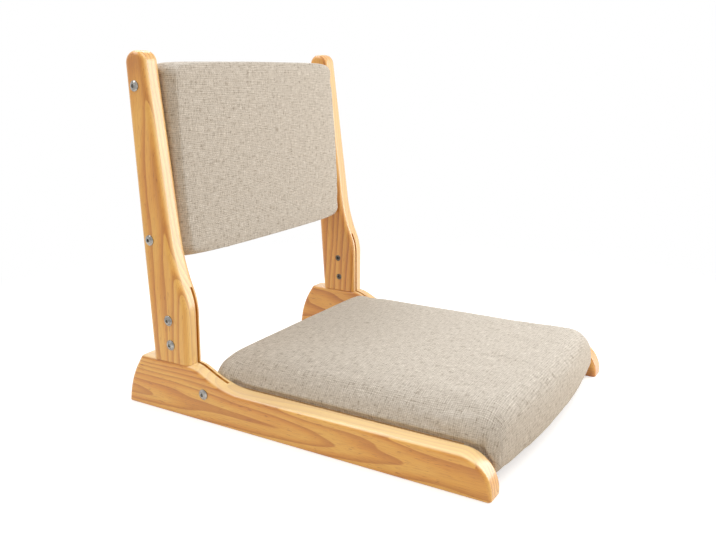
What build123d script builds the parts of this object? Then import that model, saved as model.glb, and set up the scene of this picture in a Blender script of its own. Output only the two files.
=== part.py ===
"""Folding floor chair: two pine rails carry an upholstered seat, two pine posts carry the backrest.

Each post stands with its foot on a raised pad at the rear of its rail. A steel hinge plate sits in a
saw kerf in both pieces of wood. Two sleeve bolts hold it in the post, and it turns on one sleeve bolt
in the rail, so the whole back lifts off its pads and folds forward over the seat.

Millimetres, +Z up, front at -Y, and the origin under the middle of the chair. Right is the sitter's
right, at -X. Outlines seen from the side are drawn as (depth, height): depth runs forward from the
rails' rear end.
"""

from build123d import *
from math import atan2, cos, radians, sin, sqrt, tan
import os

# --- whole chair -------------------------------------------------------------------------------------
overall_width = 400.0          # over the outer faces of the two rails
rail_length = 481.0            # from the rear end to the front nose
seat_overhang = 7.0            # how far the cushion's bowed front passes the rails' noses

# --- rails -------------------------------------------------------------------------------------------
rail_thickness = 26.2
rail_height = 42.0             # along the seat
pad_height = 64.0              # top of the pad that the post stands on
rear_reach = 24.8              # how far the rear end leans in, from the floor up to the pad
rear_low_lean = 8.0            # degrees from upright, at the floor
rear_high_lean = 38.0          # degrees from upright, below the pad
rear_round = 112.0             # radius of the rounded rear end
pad_corner_round = 6.0
pad_ahead_of_foot = 5.0        # from the foot's front to where the pad gives way to the ramp
ramp_slope = 26.0              # degrees
ramp_top_round = 38.0
ramp_foot_round = 113.0
nose_round = 37.0
rail_edge_round = 4.5          # both long edges, from the rear end over the top to the nose
rail_bottom_ease = 1.5         # all round the face that stands on the floor

# --- posts -------------------------------------------------------------------------------------------
post_thickness = 26.2          # the rail's own stock, flush with both its faces
post_height = 427.0            # top of the post above the floor
foot_rear = 45.5               # depth of the foot's rear corner
foot_depth = 56.3
post_rear_lean = 3.65          # degrees
post_top_depth = 29.5          # front to rear at the top, before rounding
shoulder_height = 75.0         # straight front of the post above its foot
shoulder_slope = 24.0          # degrees of lean between shoulder and neck
shoulder_run = 43.1            # height of the sloping stretch
shoulder_round = 75.0
neck_round = 205.0
post_top_round = 14.0
post_edge_round = 7.0

# --- hinge -------------------------------------------------------------------------------------------
pivot_ahead_of_foot = 21.6
pivot_height = 33.6
kerf_from_inner = 8.2          # middle of the kerf, in from the inner faces
plate_thickness = 3.0
kerf_side_gap = 0.3            # each side of the plate
plate_half_width = 13.0        # of the leg that is bolted to the post
plate_eye_radius = 12.5        # round the pivot
plate_inner_round = 9.0
plate_heel_round = 8.0
plate_top_round = 11.0
plate_bolt_from_rear = 29.8    # lower plate bolt, ahead of the foot's rear corner
plate_bolt_above_pad = 21.4
plate_bolt_spacing = 30.0
kerf_gap = 1.5                 # round the plate's edges, in the kerfs
kerf_end_round = 5.0
rail_kerf_front_gap = 8.0      # from the plate's eye forward to the kerf's end, at rail top
post_kerf_rise = 33.0          # the saw leaves the post's front this far above the plate's top
fold_limit = 88.0              # degrees, where the cushions meet

# --- bolts, sleeve nuts and cross dowels (M6) --------------------------------------------------------
bolt_radius = 3.0
bolt_hole_gap = 0.2
head_radius = 6.2
head_height = 3.2
head_rim = 0.8
key_width = 4.0                # across the flats of the hexagon socket
key_depth = 2.0
sleeve_radius = 4.0
sleeve_length = 13.0
sleeve_gap = 0.1               # in the wood and where the plate is clamped
pivot_gap = 0.05               # plate's eye on the pivot sleeve: a running fit
nut_head_radius = 4.6
nut_head_height = 1.8
nut_recess = 2.4               # depth of the counterbore in the inner face
thread_gap = 0.05
sleeve_thread_depth = 10.0
bolt_tip_gap = 1.0
cross_dowel_radius = 5.0
cross_dowel_length = 14.0
cross_dowel_inset = 20.0       # its middle, in from the crossbar's end
back_bolt_past_dowel = 7.0

# --- backrest, in its own leaning frame: across, forward of the bolt line, up from its middle --------
back_below_top = 128.4         # from the post's top down to midway between the back bolts
back_bolt_from_rear = 13.6     # bolt line ahead of the post's rear line, at that height
back_lean = 3.6                # degrees
back_height = 230.0
back_bolt_from_end = 26.0      # back bolts, in from the cushion's top and bottom
back_side_gap = 0.4            # cover to post
back_rear = 10.0               # bolt line back to the rear face
back_front = 34.0              # bolt line forward to the crown
back_crown = 4.5               # fall of the crown towards the sides
back_end_crown = 3.5           # fall of the crown towards the top and bottom
back_edge_round = 8.0          # along the top and bottom
back_side_roll = 9.0           # how far the front rolls back at the sides
back_roll_power = 20           # higher keeps that roll closer to the sides
back_end_draw = 3.0            # how far the ends draw in at the corners
back_end_bow = 1.0
crossbar_depth = 17.0
back_crossbar_height = 36.0
back_stile_width = 30.0
back_board_thickness = 6.0
back_board_corner = 14.0
back_panel_thickness = 2.0
back_panel_margin = 9.0
cover_thickness = 1.2
foam_gap = 0.3
hem_width = 24.0               # fabric turned in behind the boards

# --- seat --------------------------------------------------------------------------------------------
seat_side_gap = 0.4
seat_ahead_of_foot = 17.2      # from the foot's front to the cushion's rear edge
seat_rise_over_rail = 1.5      # side edge of the cushion above the rail's flat top
seat_crown = 32.0              # from the side edge up to the crown
seat_crown_fall = 0.05         # share of the crown lost on the way to the sides, before they roll over
seat_roll_power = 12           # higher keeps that roll closer to the sides
seat_rear_below_pad = 9.0      # rear corner of the cushion, below the pad's top
seat_rear_rise = 14.0          # from the rear corner up to the middle of the rear edge
seat_rear_round = 8.0
seat_ramp_sag = 5.0
seat_top_bulge = 0.8
seat_front_bow = 13.7          # middle of the front edge ahead of its corners
seat_front_round = 24.0        # at the sides
seat_front_round_gain = 5.0    # more at the middle
seat_front_tuck = 4.0
seat_drop = 12.0               # rail's flat top down to the panel's underside, on the crossbars
seat_lip_bottom = 15.0         # underside of the wrapped nose, above the floor
seat_lip_depth = 46.0          # from the rear of the wrapped nose to the chair's front
seat_board_thickness = 9.0
seat_board_front_gap = 22.0    # board's front edge behind the side of the cushion's front
seat_board_corner = 18.0
nose_bar_front_gap = 12.0
nose_bar_round = 8.0
crossbar_width = 35.0
crossbar_height = 17.8
crossbar_ease = 1.5
rear_crossbar_inset = 30.0     # ahead of the cushion's rear edge
front_crossbar_inset = 5.0     # behind the wrapped nose
wood_dowel_radius = 4.0
wood_dowel_length = 28.0
wood_dowel_gap = 0.05
wood_dowel_end_gap = 1.0
wood_dowel_spacing = 17.0
wood_dowel_in_rail = 13.0
screw_radius = 2.0
screw_head_radius = 4.0
screw_head_height = 2.4
screw_head_slope = 39.0        # degrees
screw_in_board = 6.5
screw_in_back_board = 4.5
screw_hole_gap = 0.05
screws_per_bar = 3
screw_from_dowel = 18.0        # outer screws, inboard of the cross dowels
dust_cover_thickness = 1.0
dust_cover_gap = 3.0

# --- worked out from the values above ----------------------------------------------------------------
rear_y = (rail_length + seat_overhang) / 2
half_width = overall_width / 2
inner_x = half_width - rail_thickness
post_outer_x = inner_x + post_thickness
kerf_x = inner_x + kerf_from_inner
kerf_width = plate_thickness + 2 * kerf_side_gap
rear_lean_slope = tan(radians(post_rear_lean))
seat_half_width = inner_x - seat_side_gap
back_half_width = inner_x - back_side_gap
foot_front = foot_rear + foot_depth
ramp_start = foot_front + pad_ahead_of_foot
ramp_end = ramp_start + (pad_height - rail_height) / tan(radians(ramp_slope))
pivot_depth = foot_front + pivot_ahead_of_foot
plate_bolt_depth = foot_rear + plate_bolt_from_rear
plate_bolt_height = pad_height + plate_bolt_above_pad
back_bolt_spacing = back_height - 2 * back_bolt_from_end
back_middle_height = post_height - back_below_top
back_middle_depth = foot_rear - (back_middle_height - pad_height) * rear_lean_slope + back_bolt_from_rear
seat_side_height = rail_height + seat_rise_over_rail
seat_rear_depth = foot_front + seat_ahead_of_foot
seat_ramp_end = ramp_end + ramp_foot_round * tan(radians(ramp_slope) / 2)
seat_bottom = rail_height - seat_drop
seat_lip_start = rail_length + seat_overhang - seat_lip_depth
rear_crossbar_depth = seat_rear_depth + rear_crossbar_inset
front_crossbar_depth = seat_lip_start - front_crossbar_inset - crossbar_width
seat_front_side = rail_length + seat_overhang - seat_front_bow
OVERSIZE = 60.0                # large cutters reach this far past what they cut
PAST = 1.0                     # bores and slots run this far past the face that they leave by
SKIM = 0.1                     # and windows this far past the fabric that they open
ROUND_LIMIT = 0.98             # share of the room between two corners that a round may take
CORNER_SHARE = 1 - 1 / sqrt(2)


# --- small helpers -----------------------------------------------------------------------------------
def side_plane(x):
    """The plane at x on which (depth, height) outlines are drawn. Its normal points to -X."""
    return Plane(origin=(x, rear_y, 0), x_dir=(0, -1, 0), z_dir=(-1, 0, 0))


def outline(corners):
    """A face from corners given as (depth, height, radius)."""
    points = [(depth, height) for depth, height, radius in corners]
    return make_face(FilletPolyline(*points, radius=[corner[2] for corner in corners], close=True))


def slab(face, x_low, x_high):
    """A side outline made solid between two X values."""
    return extrude(side_plane(x_high) * face, x_high - x_low)


def rod(x_low, x_high, radius, depth, height):
    """A cylinder along X."""
    return extrude(side_plane(x_high) * Pos(depth, height) * Circle(radius), x_high - x_low)


def block(x_low, x_high, depth_low, depth_high, height_low, height_high):
    """A box given by its limits, with depths measured forward from the rails' rear end."""
    size = (x_high - x_low, depth_high - depth_low, height_high - height_low)
    middle = ((x_low + x_high) / 2, rear_y - (depth_low + depth_high) / 2, (height_low + height_high) / 2)
    return Pos(*middle) * Box(*size)


def profile_edges(part, x):
    """The edges of a slab's outline on its face at x."""
    return [e for e in part.edges() if abs(e.center().X - x) < 1e-4 and abs(e.tangent_at(0.5).X) < 1e-4]


def both_sides(name, right):
    """The right-hand piece and its mirror image, under their two names."""
    return {f"right_{name}": right, f"left_{name}": mirror(right, about=Plane.YZ)}


def bolt_line(height):
    """Depth of the plate bolts' line at a height."""
    return plate_bolt_depth + (plate_bolt_height - height) * rear_lean_slope


def plate_bolt_places():
    lean = radians(post_rear_lean)
    upper_depth = plate_bolt_depth - plate_bolt_spacing * sin(lean)
    upper_height = plate_bolt_height + plate_bolt_spacing * cos(lean)
    return [(plate_bolt_depth, plate_bolt_height), (upper_depth, upper_height)]


def back_bolt_places():
    lean = radians(back_lean)
    half = back_bolt_spacing / 2
    return [
        (back_middle_depth - side * half * sin(lean), back_middle_height + side * half * cos(lean))
        for side in (-1, 1)
    ]


def on_back(shape):
    """Places a shape from the backrest's leaning frame (X, forward = -Y, up = Z)."""
    return Location((0, rear_y - back_middle_depth, back_middle_height), (-back_lean, 0, 0)) * shape


# --- fasteners ---------------------------------------------------------------------------------------
def dome_bolt(outer_x, length, depth, height):
    """A dome-head bolt with a hexagon socket, seated on the right-hand face at -outer_x."""
    head_profile = make_face([
        Line((0, 0), (head_radius, 0)),
        Line((head_radius, 0), (head_radius, head_rim)),
        dome_arc(),
        Line((0, head_height), (0, 0)),
    ])
    head = revolve(Plane.XZ * head_profile, Axis.Z)
    hexagon = RegularPolygon(key_width / sqrt(3), 6)
    key = extrude(Plane.XY.offset(head_height - key_depth) * hexagon, key_depth)
    shank = Pos(0, 0, -length / 2) * Cylinder(bolt_radius, length)
    bolt = head - key + shank
    seat = Plane(origin=(-outer_x, rear_y - depth, height), x_dir=(0, 0, 1), z_dir=(-1, 0, 0))
    return seat * bolt


def dome_arc():
    """The dome from the head's rim to its crown, as an arc square to the bolt's axis at the top."""
    rise = head_height - head_rim
    sphere = (head_radius**2 + rise**2) / (2 * rise)
    turn = atan2(head_radius, sphere - rise) / 2
    middle = (sphere * sin(turn), head_height - sphere + sphere * cos(turn))
    return ThreePointArc((head_radius, head_rim), middle, (0, head_height))


def sleeve_nut(depth, height):
    """A sleeve nut let into the right-hand inner face, threaded from its far end."""
    head_inner = -(inner_x + nut_recess - nut_head_height)
    head_outer = -(inner_x + nut_recess)
    sleeve_end = head_outer - sleeve_length
    nut = rod(head_outer, head_inner, nut_head_radius, depth, height)
    nut += rod(sleeve_end, head_outer, sleeve_radius, depth, height)
    nut -= rod(sleeve_end, sleeve_end + sleeve_thread_depth, bolt_radius + thread_gap, depth, height)
    socket = extrude(
        side_plane(head_inner) * Pos(depth, height) * RegularPolygon(key_width / sqrt(3), 6), key_depth
    )
    return nut - socket


def sleeve_bolt_length(outer_x):
    """Bolt length from the outer face to just short of the end of the sleeve's thread."""
    thread_end = inner_x + nut_recess + sleeve_length - sleeve_thread_depth
    return outer_x - thread_end - bolt_tip_gap


def sleeve_holes(outer_x, depth, height):
    """What a sleeve bolt takes out of the right-hand wood: recess, sleeve hole and bolt hole."""
    inside = -inner_x + PAST
    holes = rod(-outer_x - PAST, inside, bolt_radius + bolt_hole_gap, depth, height)
    sleeve_end = -(inner_x + nut_recess + sleeve_length + sleeve_gap)
    holes += rod(sleeve_end, inside, sleeve_radius + sleeve_gap, depth, height)
    return holes + rod(-(inner_x + nut_recess), inside, nut_head_radius + sleeve_gap, depth, height)


def wood_screw(length):
    """A countersunk screw along +Z with its head's flat face at the origin."""
    head = extrude(Circle(screw_head_radius), screw_head_height, taper=screw_head_slope)
    return head + Pos(0, 0, length / 2) * Cylinder(screw_radius, length)


def wood_screw_hole(length):
    head = extrude(Circle(screw_head_radius + screw_hole_gap), screw_head_height, taper=screw_head_slope)
    return head + Pos(0, 0, length / 2) * Cylinder(screw_radius + screw_hole_gap, length)


def screw_row():
    """X places of the screws along one bar, evenly spaced between the cross dowels."""
    outer = frame_half() - cross_dowel_inset - screw_from_dowel
    return [outer * (2 * i / (screws_per_bar - 1) - 1) for i in range(screws_per_bar)]


# --- rails and posts ---------------------------------------------------------------------------------
def rail_outline():
    rear_turn = radians(rear_high_lean - rear_low_lean)
    slant = rear_reach / (sin(radians(rear_low_lean)) + sin(radians(rear_high_lean)))
    knee = (slant * sin(radians(rear_low_lean)), slant * cos(radians(rear_low_lean)))
    rear_limit = (slant - pad_corner_round * tan((radians(90 - rear_high_lean)) / 2)) / tan(rear_turn / 2)
    return outline([
        (0, 0, 0),
        (*knee, min(rear_round, ROUND_LIMIT * rear_limit)),
        (rear_reach, pad_height, pad_corner_round),
        (ramp_start, pad_height, ramp_top_round),
        (ramp_end, rail_height, ramp_foot_round),
        (rail_length, rail_height, nose_round),
        (rail_length, 0, 0),
    ])


def right_rail():
    rail = slab(rail_outline(), -half_width, -inner_x)
    for x in (-half_width, -inner_x):
        top_chain = [e for e in profile_edges(rail, x) if e.center().Z > 0.5]
        rail = fillet(top_chain, rail_edge_round)
    rail = fillet(rail.faces().sort_by(Axis.Z)[0].edges(), rail_bottom_ease)
    rail -= slab(rail_kerf(), -kerf_x - kerf_width / 2, -kerf_x + kerf_width / 2)
    rail -= sleeve_holes(half_width, pivot_depth, pivot_height)
    for depth in dowel_depths():
        end = -(inner_x + wood_dowel_in_rail + wood_dowel_end_gap)
        rail -= rod(end, -inner_x + PAST, wood_dowel_radius + wood_dowel_gap, depth, dowel_height())
    return rail


def rail_kerf():
    """The slot in the rail's top: clear of the plate at rest and over its whole turn."""
    floor = pivot_height - plate_eye_radius - kerf_gap
    rear = bolt_line(pad_height) - plate_half_width - kerf_gap
    eye_front = pivot_depth + plate_eye_radius + kerf_gap
    top = pad_height + OVERSIZE
    top_front = eye_front + rail_kerf_front_gap * (top - floor) / (rail_height - floor)
    return outline([
        (rear, top, 0),
        (rear, floor, kerf_end_round),
        (eye_front, floor, kerf_end_round),
        (top_front, top, 0),
    ])


def post_outline():
    shoulder = pad_height + shoulder_height
    neck_depth = foot_front - shoulder_run * tan(radians(shoulder_slope))
    top_rear = foot_rear - (post_height - pad_height) * rear_lean_slope
    return outline([
        (foot_rear, pad_height, 0),
        (foot_front, pad_height, 0),
        (foot_front, shoulder, shoulder_round),
        (neck_depth, shoulder + shoulder_run, neck_round),
        (top_rear + post_top_depth, post_height, post_top_round),
        (top_rear, post_height, post_top_round),
    ])


def right_post():
    post = slab(post_outline(), -post_outer_x, -inner_x)
    for x in (-post_outer_x, -inner_x):
        chain = [e for e in profile_edges(post, x) if e.center().Z > pad_height + 0.5]
        post = fillet(chain, post_edge_round)
    post -= slab(post_kerf(), -kerf_x - kerf_width / 2, -kerf_x + kerf_width / 2)
    for place in plate_bolt_places():
        post -= sleeve_holes(post_outer_x, *place)
    for place in back_bolt_places():
        post -= rod(-post_outer_x - PAST, -inner_x + PAST, bolt_radius + bolt_hole_gap, *place)
    return post


def post_kerf():
    """The slot in the post: open at the foot and the front, with the saw's slope at its top."""
    plate_top = plate_bolt_places()[1][1] + plate_half_width
    rear_gap = plate_half_width + kerf_gap
    front = foot_front + kerf_gap
    foot = pad_height - PAST
    return outline([
        (bolt_line(foot) - rear_gap, foot, 0),
        (bolt_line(plate_top) - rear_gap, plate_top + kerf_gap, 0),
        (front, plate_top + post_kerf_rise, 0),
        (front, foot, 0),
    ])


# --- hinge plate -------------------------------------------------------------------------------------
def plate_outline():
    top = plate_bolt_places()[1][1] + plate_half_width
    heel = pivot_height - plate_eye_radius
    arm_top = pivot_height + plate_eye_radius
    eye_front = pivot_depth + plate_eye_radius
    eye_round = ROUND_LIMIT * plate_eye_radius
    return outline([
        (bolt_line(heel) - plate_half_width, heel, plate_heel_round),
        (eye_front, heel, eye_round),
        (eye_front, arm_top, eye_round),
        (bolt_line(arm_top) + plate_half_width, arm_top, plate_inner_round),
        (bolt_line(top) + plate_half_width, top, plate_top_round),
        (bolt_line(top) - plate_half_width, top, plate_top_round),
    ])


def right_hinge_plate():
    low, high = -kerf_x - plate_thickness / 2, -kerf_x + plate_thickness / 2
    plate = slab(plate_outline(), low, high)
    plate -= rod(low - PAST, high + PAST, sleeve_radius + pivot_gap, pivot_depth, pivot_height)
    for place in plate_bolt_places():
        plate -= rod(low - PAST, high + PAST, sleeve_radius + sleeve_gap, *place)
    return plate


# --- cushions ----------------------------------------------------------------------------------------
STATIONS = (0.2, 0.4, 0.6, 0.75, 0.87, 0.95, 1.0)    # loft sections, as shares of the half width


def quarter(start, end, corner):
    """A quarter arc that rounds a corner off between start and end."""
    middle = tuple(c + (s + e - 2 * c) * CORNER_SHARE for s, e, c in zip(start, end, corner))
    return ThreePointArc(start, middle, end)


def through(start, bulge, end):
    """An arc from start to end whose middle stands off by bulge in height."""
    return ThreePointArc(start, ((start[0] + end[0]) / 2, (start[1] + end[1]) / 2 + bulge), end)


def seat_section(x, inset):
    """Side section of the seat cushion at x, made smaller all round by inset."""
    across = abs(x) / (seat_half_width - inset)
    share = (1 - across**seat_roll_power) * (1 - seat_crown_fall * across**2)
    rear = seat_rear_depth + inset
    front = seat_front_side + seat_front_bow * (1 - (x / seat_half_width) ** 2) - inset
    bottom, lip = seat_bottom + inset, seat_lip_bottom + inset
    lip_start = seat_lip_start + inset
    top = seat_side_height + seat_crown * share - inset
    rear_top = pad_height - seat_rear_below_pad + seat_rear_rise * share - inset
    nose = seat_front_round + seat_front_round_gain * share - inset
    rear_round_here = seat_rear_round - inset
    ramp_end = (seat_ramp_end, top)
    rear_start = (rear + rear_round_here, rear_top)
    return side_plane(x) * make_face([
        Line((rear, bottom), (lip_start, bottom)),
        Line((lip_start, bottom), (lip_start, lip)),
        Line((lip_start, lip), (front - seat_front_tuck, lip)),
        Line((front - seat_front_tuck, lip), (front, top - nose)),
        quarter((front, top - nose), (front - nose, top), (front, top)),
        through((front - nose, top), seat_top_bulge, ramp_end),
        through(ramp_end, seat_top_bulge - seat_ramp_sag * (1 - share), rear_start),
        quarter(rear_start, (rear, rear_top - rear_round_here), (rear, rear_top)),
        Line((rear, rear_top - rear_round_here), (rear, bottom)),
    ])


def back_section(x, inset):
    """Side section of the backrest cushion at x in its own frame, made smaller all round by inset."""
    share = abs(x) / (back_half_width - inset)
    edge = back_edge_round - inset
    roll = share**back_roll_power
    front = back_front - back_crown * share**4 - back_side_roll * roll - inset
    rear = -back_rear + inset
    half = back_height / 2 - back_end_bow * share**2 - back_end_draw * roll - inset
    shoulder = front - back_end_crown
    plane = Plane(origin=(x, 0, 0), x_dir=(0, -1, 0), z_dir=(-1, 0, 0))
    return plane * make_face([
        Line((rear, -half), (shoulder - edge, -half)),
        quarter((shoulder - edge, -half), (shoulder, edge - half), (shoulder, -half)),
        ThreePointArc((shoulder, edge - half), (front, 0), (shoulder, half - edge)),
        quarter((shoulder, half - edge), (shoulder - edge, half), (shoulder, half)),
        Line((shoulder - edge, half), (rear, half)),
        Line((rear, half), (rear, -half)),
    ])


def cushion(section, half, inset):
    """A cushion form lofted across its width: smooth outside, and in flat strips where fabric hides it."""
    places = [-share for share in reversed(STATIONS)] + [0.0] + list(STATIONS)
    return loft([section(share * (half - inset), inset) for share in places], ruled=inset > 0)


def seat_form(inset):
    return cushion(seat_section, seat_half_width, inset)


def back_form(inset):
    return cushion(back_section, back_half_width, inset)


# --- seat --------------------------------------------------------------------------------------------
def bar_depths():
    """Rear faces of the two crossbars."""
    return (rear_crossbar_depth, front_crossbar_depth)


def dowel_depths():
    """Two dowels in each end of each crossbar."""
    return [
        start + crossbar_width / 2 + side * wood_dowel_spacing / 2
        for start in bar_depths() for side in (-1, 1)
    ]


def dowel_height():
    return seat_bottom - crossbar_height / 2


def seat_crossbar(start):
    low = seat_bottom - crossbar_height
    bar = block(-inner_x, inner_x, start, start + crossbar_width, low, seat_bottom)
    bar = chamfer(bar.edges().filter_by(Axis.X).group_by(Axis.Z)[0], crossbar_ease)
    inner_end = inner_x - wood_dowel_length + wood_dowel_in_rail - wood_dowel_end_gap
    for depth in dowel_depths():
        for near, far in ((inner_end, inner_x + PAST), (-inner_x - PAST, -inner_end)):
            bar -= rod(near, far, wood_dowel_radius + wood_dowel_gap, depth, dowel_height())
    return bar - seat_screw_set(wood_screw_hole)


def crossbar_dowels():
    low, high = inner_x + wood_dowel_in_rail - wood_dowel_length, inner_x + wood_dowel_in_rail
    dowels = []
    for depth in dowel_depths():
        dowels += [rod(low, high, wood_dowel_radius, depth, dowel_height())]
        dowels += [rod(-high, -low, wood_dowel_radius, depth, dowel_height())]
    return Compound(dowels)


def seat_screw_set(make):
    """Screws, or their holes, up through both crossbars into the board."""
    length = crossbar_height + cover_thickness + screw_in_board
    low = seat_bottom - crossbar_height
    depths = [start + crossbar_width / 2 for start in bar_depths()]
    places = [(x, rear_y - depth, low) for depth in depths for x in screw_row()]
    return Compound([Pos(*place) * make(length) for place in places])


def board_front():
    return seat_front_side - seat_board_front_gap


def seat_board():
    half = seat_half_width - cover_thickness - 2 * foam_gap
    low = seat_bottom + cover_thickness
    rear = seat_rear_depth + cover_thickness + 2 * foam_gap
    board = block(-half, half, rear, board_front(), low, low + seat_board_thickness)
    front_corners = board.edges().filter_by(Axis.Z).group_by(Axis.Y)[0]
    board = fillet(front_corners, seat_board_corner)
    return board - seat_screw_set(wood_screw_hole)


def seat_nose_bar():
    """The bar glued under the board's front edge, which the foam and fabric wrap round."""
    half = seat_half_width - cover_thickness - nose_bar_front_gap / 2
    low = seat_lip_bottom + cover_thickness + foam_gap
    rear = seat_lip_start + cover_thickness + foam_gap
    front = seat_front_side - nose_bar_front_gap
    bar = block(-half, half, rear, front, low, seat_bottom + cover_thickness)
    return fillet(bar.edges().filter_by(Axis.X).group_by(Axis.Y)[0].sort_by(Axis.Z)[-1], nose_bar_round)


def seat_foam():
    foam = seat_form(cover_thickness + foam_gap)
    board_top = seat_bottom + cover_thickness + seat_board_thickness
    foam -= block(-half_width, half_width, 0, board_front(), -OVERSIZE, board_top)
    return foam - seat_nose_bar()


def seat_cover():
    """Fabric all round the seat, with a window inside its hem on the underside."""
    cover = seat_form(0) - seat_form(cover_thickness)
    half = seat_half_width - hem_width
    rear, front = seat_rear_depth + hem_width, seat_lip_start - hem_width
    window = block(-half, half, rear, front, 0, seat_bottom + cover_thickness + SKIM)
    return cover - window - seat_screw_set(wood_screw_hole)


def seat_dust_cover():
    """The thin sheet stapled under the seat between the crossbars."""
    half = inner_x - dust_cover_gap
    low = bar_depths()[0] + crossbar_width + dust_cover_gap
    high = bar_depths()[1] - dust_cover_gap
    return block(-half, half, low, high, seat_bottom - dust_cover_thickness, seat_bottom)


# --- backrest ----------------------------------------------------------------------------------------
def back_box(x_low, x_high, forward_low, forward_high, up_low, up_high):
    """A box in the backrest's frame, with forward measured from the bolt line."""
    size = (x_high - x_low, forward_high - forward_low, up_high - up_low)
    middle = ((x_low + x_high) / 2, -(forward_low + forward_high) / 2, (up_low + up_high) / 2)
    return Pos(*middle) * Box(*size)


def frame_rear():
    return -back_rear + cover_thickness


def frame_front():
    return frame_rear() + crossbar_depth


def frame_half():
    return back_half_width - cover_thickness


def back_bolt_row(length_in, radius):
    """Rods along X on the back bolts' axes, inwards from both sides of the cover, in the back's frame."""
    rods = []
    for side in (-1, 1):
        for up in (-back_bolt_spacing / 2, back_bolt_spacing / 2):
            middle = side * (back_half_width + PAST - length_in / 2)
            rods += [Pos(middle, 0, up) * Rot(0, 90, 0) * Cylinder(radius, length_in)]
    return Compound(rods)


def back_bolt_length():
    return post_outer_x - frame_half() + cross_dowel_inset + back_bolt_past_dowel


def cross_dowel_places():
    x = frame_half() - cross_dowel_inset
    return [(side * x, up) for side in (-1, 1) for up in (-back_bolt_spacing / 2, back_bolt_spacing / 2)]


def cross_dowel_set(radius, rear, front):
    """Cylinders that stand fore and aft on the back bolts' axes."""
    length = front - rear
    return [
        Pos(x, -(rear + front) / 2, up) * Rot(90, 0, 0) * Cylinder(radius, length)
        for x, up in cross_dowel_places()
    ]


def bolt_bores():
    bore_length = back_bolt_length() - (post_outer_x - back_half_width) + bolt_tip_gap + PAST
    return back_bolt_row(bore_length, bolt_radius + bolt_hole_gap)


def back_screw_set(make):
    """Screws, or their holes, forward through both crossbars into the board."""
    length = crossbar_depth + screw_in_back_board
    places = [(x, side * back_bolt_spacing / 2) for side in (-1, 1) for x in screw_row()]
    return Compound([Pos(x, -frame_rear(), up) * Rot(90, 0, 0) * make(length) for x, up in places])


def back_crossbar(side):
    middle = side * back_bolt_spacing / 2
    bar = back_box(
        -frame_half(), frame_half(), frame_rear(), frame_front(),
        middle - back_crossbar_height / 2, middle + back_crossbar_height / 2,
    )
    pocket = Compound(cross_dowel_set(
        cross_dowel_radius + wood_dowel_gap, frame_rear() - PAST, cross_dowel_length / 2 + wood_dowel_gap
    ))
    return on_back(bar - bolt_bores() - pocket - back_screw_set(wood_screw_hole))


def back_barrel_nuts():
    half = cross_dowel_length / 2
    nuts = Compound(cross_dowel_set(cross_dowel_radius, -half, half))
    thread = back_bolt_row(back_bolt_length(), bolt_radius + thread_gap)
    return on_back(Compound((nuts - thread).solids()))


def back_stiles():
    half = back_bolt_spacing / 2 - back_crossbar_height / 2
    inner, outer = frame_half() - back_stile_width, frame_half()
    stiles = [back_box(inner, outer, frame_rear(), frame_front(), -half, half)]
    stiles += [back_box(-outer, -inner, frame_rear(), frame_front(), -half, half)]
    return on_back(Compound(stiles))


def back_board():
    margin = cover_thickness + 2 * foam_gap
    half = back_height / 2 - back_end_bow - back_end_draw - margin
    wide = back_half_width - margin
    board = back_box(-wide, wide, frame_front(), frame_front() + back_board_thickness, -half, half)
    board = fillet(board.edges().filter_by(Axis.Y), back_board_corner)
    return on_back(board - back_screw_set(wood_screw_hole))


def back_foam():
    foam = back_form(cover_thickness + foam_gap)
    front = frame_front() + back_board_thickness
    return on_back(foam - back_box(-half_width, half_width, -OVERSIZE, front, -back_height, back_height))


def back_cover():
    """Fabric all round the backrest, with a window inside its hem at the rear."""
    cover = back_form(0) - back_form(cover_thickness)
    half_high = back_height / 2 - hem_width
    half_wide = back_half_width - hem_width
    window = back_box(-half_wide, half_wide, -OVERSIZE, frame_rear() + SKIM, -half_high, half_high)
    holes = back_bolt_row(hem_width, bolt_radius + bolt_hole_gap)
    return on_back(cover - window - holes)


def back_rear_panel():
    """The fabric-covered sheet that closes the back, stapled over the hem."""
    half_high = back_height / 2 - back_panel_margin
    half_wide = back_half_width - back_panel_margin
    panel = back_box(
        -half_wide, half_wide, -back_rear - back_panel_thickness, -back_rear, -half_high, half_high
    )
    return on_back(panel)


# --- the set of pieces -------------------------------------------------------------------------------
def paired_pieces():
    pivot_bolt = dome_bolt(half_width, sleeve_bolt_length(half_width), pivot_depth, pivot_height)
    plate_bolts = [
        dome_bolt(post_outer_x, sleeve_bolt_length(post_outer_x), *place) for place in plate_bolt_places()
    ]
    back_bolts = [dome_bolt(post_outer_x, back_bolt_length(), *place) for place in back_bolt_places()]
    return {
        **both_sides("rail", right_rail()),
        **both_sides("post", right_post()),
        **both_sides("hinge_plate", right_hinge_plate()),
        **both_sides("pivot_bolt", pivot_bolt),
        **both_sides("pivot_nut", sleeve_nut(pivot_depth, pivot_height)),
        **both_sides("plate_bolts", Compound(plate_bolts)),
        **both_sides("plate_nuts", Compound([sleeve_nut(*place) for place in plate_bolt_places()])),
        **both_sides("back_bolts", Compound(back_bolts)),
    }


def middle_pieces():
    return {
        "rear_crossbar": seat_crossbar(rear_crossbar_depth),
        "front_crossbar": seat_crossbar(front_crossbar_depth),
        "crossbar_dowels": crossbar_dowels(),
        "seat_board": seat_board(),
        "seat_nose_bar": seat_nose_bar(),
        "seat_board_screws": seat_screw_set(wood_screw),
        "seat_foam": seat_foam(),
        "seat_cover": seat_cover(),
        "seat_dust_cover": seat_dust_cover(),
        "back_top_crossbar": back_crossbar(1),
        "back_bottom_crossbar": back_crossbar(-1),
        "back_stiles": back_stiles(),
        "back_barrel_nuts": back_barrel_nuts(),
        "back_board": back_board(),
        "back_board_screws": on_back(back_screw_set(wood_screw)),
        "back_foam": back_foam(),
        "back_cover": back_cover(),
        "back_rear_panel": back_rear_panel(),
    }


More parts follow.
